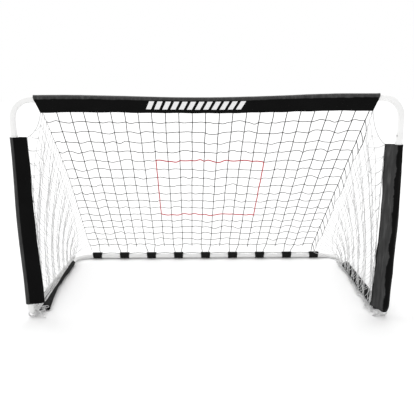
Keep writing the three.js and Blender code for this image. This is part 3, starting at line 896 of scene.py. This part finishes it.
def row_points(k):
    """One slack row: it sags and wanders between its knots."""
    t = row_share(k)
    points = []
    for i in range(COLUMNS - 1):
        a, b = net_point(i, t), net_point(i + 1, t)
        sag = random.gauss(0.0025, 0.0042) * (0.7 + 0.6 * t)
        lean = random.gauss(0, 0.0026)
        depth = random.gauss(0.002, 0.003)
        for n in range(ROW_STEPS):
            s = n / ROW_STEPS
            drop = sag * sin(pi * s) + lean * sin(2 * pi * s)
            points.append(a.lerp(b, s) + SLOPE * drop + OUTWARD * depth * sin(pi * s))
    points.append(net_point(COLUMNS - 1, t))
    return points


def fold_point(k):
    """Where row k ends, one mesh round the right fold, almost straight down from the last column."""
    start = net_point(COLUMNS - 1, row_share(k))
    out = 0.012 + 0.008 * wander(k * 1.3, 0.4)
    return start + Vector((out, 0.004, -SLACK_MESH))


FOLD_FLOOR = 0.05  # a row whose fold would end lower than this stops at the last column
KNOT, TARGET_KNOT, SIDE_KNOT = (0.0040, 0.0030), (0.0036, 0.0030), (0.0033, 0.0025)  # half length, radius

back = Shape()
rows = {k: row_points(k) for k in range(1, ROWS + 1)}
for i in range(1, COLUMNS):
    black_column(back, i)
for k, points in rows.items():
    start = points[-1]
    tail = []
    if fold_point(k).z > FOLD_FLOOR:
        for s in (0.25, 0.5, 0.75, 1):
            tail.append(start.lerp(fold_point(k), s) + X * 0.003 * sin(pi * s))
    strand(back, points + tail, BLACK_TWINE)
    for i in range(COLUMNS):
        if in_target(i, k):
            continue
        spot = net_point(i, row_share(k))
        lump(back, spot, SLOPE + X * random.uniform(-0.9, 0.9), *KNOT, random.random())
fold_points = [fold_point(k) for k in range(1, ROWS + 1)]
FOLD = [Vector((SLEEVE_CORNER, FRONT + 0.004, CROSSBAR_Z - 0.058))]
FOLD += [spot for spot in fold_points if spot.z > FOLD_FLOOR]


def threaded(points, sag=0.0, steps=6, seed=0.0):
    """A line through knots that droops a little between them."""
    out = []
    for n, (a, b) in enumerate(zip(points, points[1:])):
        for m in range(steps):
            s = m / steps
            drop = sag * (1 + 0.6 * wander(seed, n, 0.7)) * 4 * s * (1 - s)
            out.append(Vector(a).lerp(Vector(b), s) - Z * drop)
    out.append(Vector(points[-1]))
    return out


strand(back, threaded(FOLD[1:4], 0.002), BLACK_TWINE)
for spot in FOLD[1:4]:
    lump(back, spot, SLOPE, *KNOT, random.random())
add("back_net_twine", back, BLACK, replaces=["back_net"])

# ---- red target, laced over the black twine ----

target = Shape()
first, last = TARGET_COLUMNS
for k in TARGET_ROWS:
    strand(target, rows[k][first * ROW_STEPS : last * ROW_STEPS + 1], TARGET_CORD, sides=8)
for i in TARGET_COLUMNS:
    shares = np.linspace(row_share(TARGET_ROWS[0]), row_share(TARGET_ROWS[1]), 70)
    strand(target, [net_point(i, t) for t in shares], TARGET_CORD, sides=8)
    for k in TARGET_ROWS:
        lump(target, net_point(i, row_share(k)), SLOPE, *TARGET_KNOT)
add("target_cord_twine", target, RED, replaces=["target_cord"])

# ---- white side nets ----


def net_foot(side, y):
    """Where the net's foot lies at that depth: on the left rail's sleeve, or by the right rail."""
    share = ease((y - FRONT) / (REAR - FRONT))
    if side == "left":
        return -(SIDE - 0.030 + 0.022 * share), GROUND + 0.0245 - 0.006 * (1 - share)
    return SIDE - 0.050 + 0.024 * share, 0.006


LEAN = 0.10  # how far the strands of mid depth lean back on their way down
PLEAT_STARTS = 0.20  # height over which the pleats grow
SWAY = 0.010
NET_SETBACK = {"left": 0.018, "right": 0.046}  # nearest that a knot comes to the goal's mouth
FOOT_SPREAD = {"left": 0.003, "right": 0.018}  # how unevenly the foot lies


def hanging(side, k, layer):
    """The knots of the strand that hangs from row k, from the slope's edge to the net's foot."""
    x = SIDES[side]
    top = net_point(0, row_share(k)) if side == "left" else fold_point(k)
    depth = (top.y - FRONT) / (REAR - FRONT)
    lean = LEAN * sin(pi * min(1, max(0, depth))) if depth > 0.02 else 0.0
    foot_x, foot_z = net_foot(side, top.y + lean)
    meshes = (top.z - foot_z) / SLACK_MESH
    zig = 1 if int(k + layer) % 2 else -1
    knots = []
    for j in range(int(meshes) + 1):
        step = j + (0.5 * layer if j else 0)
        if step > meshes:
            break
        w = step / max(1, meshes)
        out = ease(min(1, step * MESH_DROP / PLEAT_STARTS)) * (1 - 0.5 * w)
        pleat = zig * out * (0.010 + 0.007 * wander(k * 0.9 + x, j * 0.3))
        sway = SWAY * wander(k * 2.1 + x, j * 0.45) * min(1, w * 4)
        reach = 1 - (1 - w) ** 2.2
        knot_x = top.x + (foot_x - top.x) * reach - x * pleat
        knot_y = max(FRONT + NET_SETBACK[side], top.y + lean * w + sway)
        knots.append(Vector((knot_x, knot_y, top.z - step * SLACK_MESH)))
    spread = FOOT_SPREAD[side] * abs(wander(k * 3.3 + x, 0.3))
    foot_y = knots[-1].y + 0.004 * abs(wander(k, 0.7))
    knots.append(Vector((foot_x - x * spread, foot_y, foot_z)))
    return knots


def front_edge(side):
    """The hem from the crossbar sleeve's corner to the upright's sleeve, then down its flap's edge."""
    x = SIDES[side]
    low, high = SLEEVE_ENDS[side]
    wide, narrow = FLAP_ENDS[side]
    inwards = 1.0 if x < 0 else 0.89  # the right flap turns back as well
    a = Vector((x * SLEEVE_CORNER, FRONT + 0.002, CROSSBAR_Z - 0.060))
    b = Vector((x * (SIDE - narrow * inwards), FRONT + (0.006 if x < 0 else 0.030), high - 0.003))
    bulge = Vector((x * 0.780, FRONT + 0.012, b.z + (a.z - b.z) * 0.28))
    points = [a * (1 - s) ** 2 + bulge * 2 * s * (1 - s) + b * s * s for s in np.linspace(0, 1, 9)]
    for z in np.arange(high - 0.06, max(low, 0.07), -SLACK_MESH):
        reach = wide + (narrow - wide) * (z - low) / (high - low)
        back = 0.012 if x < 0 else 0.45 * reach + 0.016
        points.append(Vector((x * (SIDE + 0.003 - inwards * reach), FRONT + back, z)))
    return points


COVER_FROM = -0.012  # from the rail's axis, on its outer side
TOP_OF_TUBE = 0.006  # from here inwards the net lies on the sleeve's flap
FLAP_SLOPE = 0.42


def gathered(point, n, count):
    """A strand of the left net's gathered foot, which covers the rail's sleeve."""
    share = (n + 0.5) / count + 0.12 * wander(n + 0.3, point.y, 0.16)
    across = COVER_FROM + (point.x + SIDE + 0.010) * min(1.05, max(0.0, share))
    on_tube = max(0.0, (SLEEVE_RADIUS + 0.003) ** 2 - min(across, TOP_OF_TUBE) ** 2) ** 0.5
    on_flap = FLAP_SLOPE * max(0.0, across - TOP_OF_TUBE)
    height = on_tube - on_flap + 0.002 * abs(wander(n * 1.9, point.y, 0.1))
    return Vector((across - SIDE, point.y, GROUND + height))


def clumped(point, n):
    """A strand of the right net's foot, which winds about the hem."""
    turn = 2.3 * n + 9 * wander(n + 0.3, point.y, 0.35)
    reach = 0.007 * abs(sin(1.7 * n + 0.4)) + 0.003
    return point + Vector((reach * cos(turn), 0, abs(reach * sin(turn))))


RING_SIZE, RING_VARIES = 0.012, 0.005
RING_RISE = 0.0012  # along the ring's own axis, per radian
RING_FLOOR = 0.0015


def loose_ring(x, n):
    """A free loop of the net's corner, gathered beside the foot."""
    size = RING_SIZE + RING_VARIES * wander(n * 1.3, 0.5)
    ring_x = x * (0.853 - 0.009 * sin(2.4 * n))
    centre = Vector((ring_x, FRONT + 0.036 + 0.008 * n, 0.024 + 0.010 * cos(1.9 * n)))
    if x > 0:
        centre += Vector((0, -0.026, -0.012))
    tilt = Vector((sin(1.1 * n), -1.2, 0.7 * cos(1.7 * n))).normalized()
    a = tilt.cross(Z).normalized()
    b = tilt.cross(a) * 0.8
    points = []
    for m in range(21):
        t = 2 * pi * m / 20
        spot = centre + a * size * cos(t) + b * size * sin(t) + tilt * RING_RISE * t
        spot.z = max(RING_FLOOR, spot.z)
        points.append(spot)
    return points


def link(net, a, b, seed):
    """The slack twine between two knots of neighbouring strands."""
    droop = 0.004 + 0.010 * random.random()
    strand(net, threaded([a, b], droop, steps=8, seed=seed), WHITE_TWINE * 0.95, sides=5)


HEM_STRANDS = {"left": 16, "right": 3}
LOOSE_RINGS = {"left": 7, "right": 4}
LACE_PITCH, LACE_REACH = 0.034, 0.0026
LACE_STEP = 0.0035

for side, x in SIDES.items():
    net = Shape()
    front = front_edge(side)
    strand(net, threaded(front), WHITE_TWINE * 1.5)
    feet = [front[-1]]
    for layer in (0, 1):
        chains = [hanging(side, k + 0.5 * layer, layer) for k in range(0, ROWS + 1 - layer)]
        for chain in chains:
            strand(net, threaded(chain), WHITE_TWINE)
            for spot in chain[1:-1]:
                lean = Z + X * random.uniform(-1, 1)
                lump(net, spot, lean, *SIDE_KNOT, random.random(), sides=6)
        for j, knot in enumerate(chains[0][1:-1]):
            near = min(front[5:], key=lambda point: abs(point.z - knot.z - 0.008))
            link(net, near, knot, j)
        for near, far in zip(chains, chains[1:]):
            for j in range(1, min(len(near), len(far)) - 1):
                link(net, near[j], far[j], j + layer)
        feet += [chain[-1] for chain in chains]
    feet.sort(key=lambda point: point.y)
    strand(net, threaded(feet), WHITE_TWINE * 1.4)
    hem = threaded(feet, steps=3)
    for n in range(HEM_STRANDS[side]):
        if side == "left":
            strand(net, [gathered(point, n, HEM_STRANDS[side]) for point in hem], WHITE_TWINE * 1.25)
        else:
            strand(net, [clumped(point, n) for point in hem], WHITE_TWINE * 1.1)
    for n in range(LOOSE_RINGS[side]):
        strand(net, loose_ring(x, n), WHITE_TWINE * 1.1)
    edge = [net_point(0, t) for t in np.linspace(0.0, 0.97, 60)] if side == "left" else FOLD
    for part in [edge] if side == "left" else [FOLD[:2], FOLD[3:]]:
        strand(net, threaded(part), WHITE_TWINE)
    line = Line(threaded(edge, steps=12))
    lacing = []
    for s in np.arange(0, line.length, LACE_STEP):
        angle = s * 2 * pi / LACE_PITCH
        out = np.array((cos(angle), 0.35 * sin(angle), sin(angle)))
        lacing.append(line.point(s) + out * LACE_REACH)
    strand(net, lacing, WHITE_TWINE * 0.8)
    add(f"{side}_side_net_twine", net, WHITE, replaces=[f"{side}_side_net"])

# ---- border cord and straps ----


def cord_z(x):
    """The border cord rises a little between the straps."""
    nearest = min(abs(x - place) for place in STRAP_PLACES)
    return GROUND + 0.0200 + 0.0035 * ease((nearest - 0.03) / 0.06)


def curve(name, points, radius, material, node):
    """A round cord along a line of points, in place of that node."""
    data = bpy.data.curves.new(name, "CURVE")
    data.dimensions = "3D"
    spline = data.splines.new("POLY")
    spline.points.add(len(points) - 1)
    for point, place in zip(spline.points, points):
        point.co = (*place, 1)
    data.bevel_depth = radius
    data.bevel_resolution = 3
    data.use_fill_caps = True
    data.materials.append(material)
    obj = placed(name, data)
    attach(obj, "frame")
    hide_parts(node)
    return obj


BORDER_CORD = 0.0018
cord_low, cord_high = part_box("net_border_cord")
cord_points = [(x, REAR - 0.0120, cord_z(x)) for x in np.linspace(cord_low.x, cord_high.x, 160)]
border = curve("net_border_cord_line", cord_points, BORDER_CORD, BLACK, "net_border_cord")


STRAP_START = 75  # degrees round the bar from its rear side
CORD_AT = 122
OVER_CORD = 0.0105
STRAP_GAP = 0.0004
OVERLAP_LIFT = 0.0019


def strap_section():
    """The strap's line round the bar and the cord: it overlaps itself behind."""
    points = []
    for angle in np.linspace(radians(STRAP_START), radians(STRAP_START + 360), 90):
        toward_cord = max(0.0, cos(angle - radians(CORD_AT)))
        reach = TUBE_RADIUS + STRAP_GAP + OVER_CORD * toward_cord ** 5
        points.append(np.array((cos(angle), sin(angle))) * reach)
    tail = [point * (1 + OVERLAP_LIFT / np.linalg.norm(point)) for point in points[2:16]]
    return np.array(points + tail)


section = strap_section()
girth = distances(section)
across = np.linspace(STRAP_WIDTH / 2, -STRAP_WIDTH / 2, 22)
for number, place in enumerate(STRAP_PLACES, 1):
    grid = []
    for offset in across:
        row = []
        for n, (dy, dz) in enumerate(section):
            flare = 1 + 0.05 * max(0, dz / 0.025) + 0.03 * wander(number * 1.7, n * 0.05)
            lift = 0.0004 * wander(number + offset * 30, n * 0.07)
            swell = 1 + max(0.0, lift) / hypot(dy, dz)
            row.append((place + offset * flare, REAR + dy * swell, GROUND + dz * swell))
        grid.append(row)
    shape = Shape()
    shell(shape, np.array(grid), across, girth, -STRAP_CLOTH)
    name = f"rear_strap_{number}"
    obj = add(name + "_web", shape, STRAP, replaces=[name], sharp=50)

# ---- white ties at the front feet ----

TIE_CORD = 0.0014
TIE_TURNS, TIE_STEPS = 3, 40
TIE_PITCH = 0.0046
TIE_GAP = 0.0008
TIE_FLOOR = TIE_CORD + 0.0004
TIE_SLACK, SLACK_AT = 0.006, {"left": 0.5, "right": 2.6}  # how far the outer turns hang off, and where
TAIL_STEP = 0.0028


def smoothed(points, rounds):
    """The same line with its sharp turns eased."""
    line = np.array(points, float)
    for _ in range(rounds):
        line[1:-1] = (line[:-2] + 2 * line[1:-1] + line[2:]) / 4
    return [tuple(place) for place in line]


for side, x in SIDES.items():
    node = f"{side}_foot_tie"
    low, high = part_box(node)
    centre = Vector((x * SIDE, (low.y + high.y) / 2, GROUND))
    points = []
    for n in range(TIE_TURNS * TIE_STEPS):
        turn = n / TIE_STEPS
        angle = 2 * pi * turn + 1.2
        slack = TIE_SLACK * max(0.0, cos(angle - SLACK_AT[side])) * int(turn)
        reach = BEND_TUBE_RADIUS + TIE_CORD + TIE_GAP + slack
        height = max(TIE_FLOOR - GROUND, reach * sin(angle))
        points.append(centre + Vector((reach * cos(angle), -0.008 + TIE_PITCH * turn, height)))
    last = points[-1]
    away = Vector((-x, -0.35, 0)).normalized()
    for n in range(1, 24):
        spot = last + away * TAIL_STEP * n
        spot.z = max(TIE_FLOOR, last.z + 0.0016 * n - 0.00028 * n * n)
        points.append(spot)
    points = smoothed(points, 6)
    tie = curve(node + "_cord", points, TIE_CORD, TIE, node)

# ---- floor, light and camera ----

floor_finish = Finish("studio_floor")
grain = floor_finish.node("TexNoise", {"Scale": 3.0, "Detail": 2.0})
floor_colour = floor_finish.ramp(grain.outputs["Fac"], [(0.2, grey(0.76)), (0.8, grey(0.78))])
floor_finish.set(Base_Color=floor_colour, Roughness=0.9)
FLOOR = 40
floor_shape = Shape()
corners = [(-FLOOR, -FLOOR, 0), (FLOOR, -FLOOR, 0), (FLOOR, FLOOR, 0), (-FLOOR, FLOOR, 0)]
floor_shape.solid(corners, [(0, 1, 2, 3)])
floor_mesh = floor_shape.mesh("studio_floor")
floor_mesh.materials.append(floor_finish.material)
placed("studio_floor", floor_mesh)

world = bpy.data.worlds.new("studio")
bpy.context.scene.world = world
world.use_nodes = True
background = world.node_tree.nodes["Background"].inputs
background["Color"].default_value = (1, 1, 1, 1)
background["Strength"].default_value = 1.0
bpy.context.scene.view_settings.view_transform = "Standard"


def soft_light(name, source, power, spread):
    """Light from a far soft box in that direction."""
    data = bpy.data.lights.new(name, "SUN")
    data.energy, data.angle = power, radians(spread)
    light = placed(name, data)
    light.rotation_mode = "QUATERNION"
    light.rotation_quaternion = Vector(source).to_track_quat("Z", "Y")


soft_light("key_light", (-0.75, 0.35, 0.55), 1.4, 50)
soft_light("top_light", (0.05, 0.50, 0.90), 1.0, 50)

CAMERA_PLACE = (0.0081, -2.770, 1.1348)
yaw, pitch, roll = (radians(angle) for angle in (-0.2, 13.53, -0.32))
forward = Vector((sin(yaw) * cos(pitch), cos(yaw) * cos(pitch), -sin(pitch)))
level = Vector((cos(yaw), -sin(yaw), 0))
plumb = level.cross(forward)
right = level * cos(roll) + plumb * sin(roll)
up = plumb * cos(roll) - level * sin(roll)
camera_data = bpy.data.cameras.new("camera")
camera_data.sensor_width = 36
camera_data.lens = 43.11
camera = placed("camera", camera_data)
aim = Matrix((right, up, -forward)).transposed().to_4x4()
camera.matrix_world = Matrix.Translation(CAMERA_PLACE) @ aim
bpy.context.scene.camera = camera
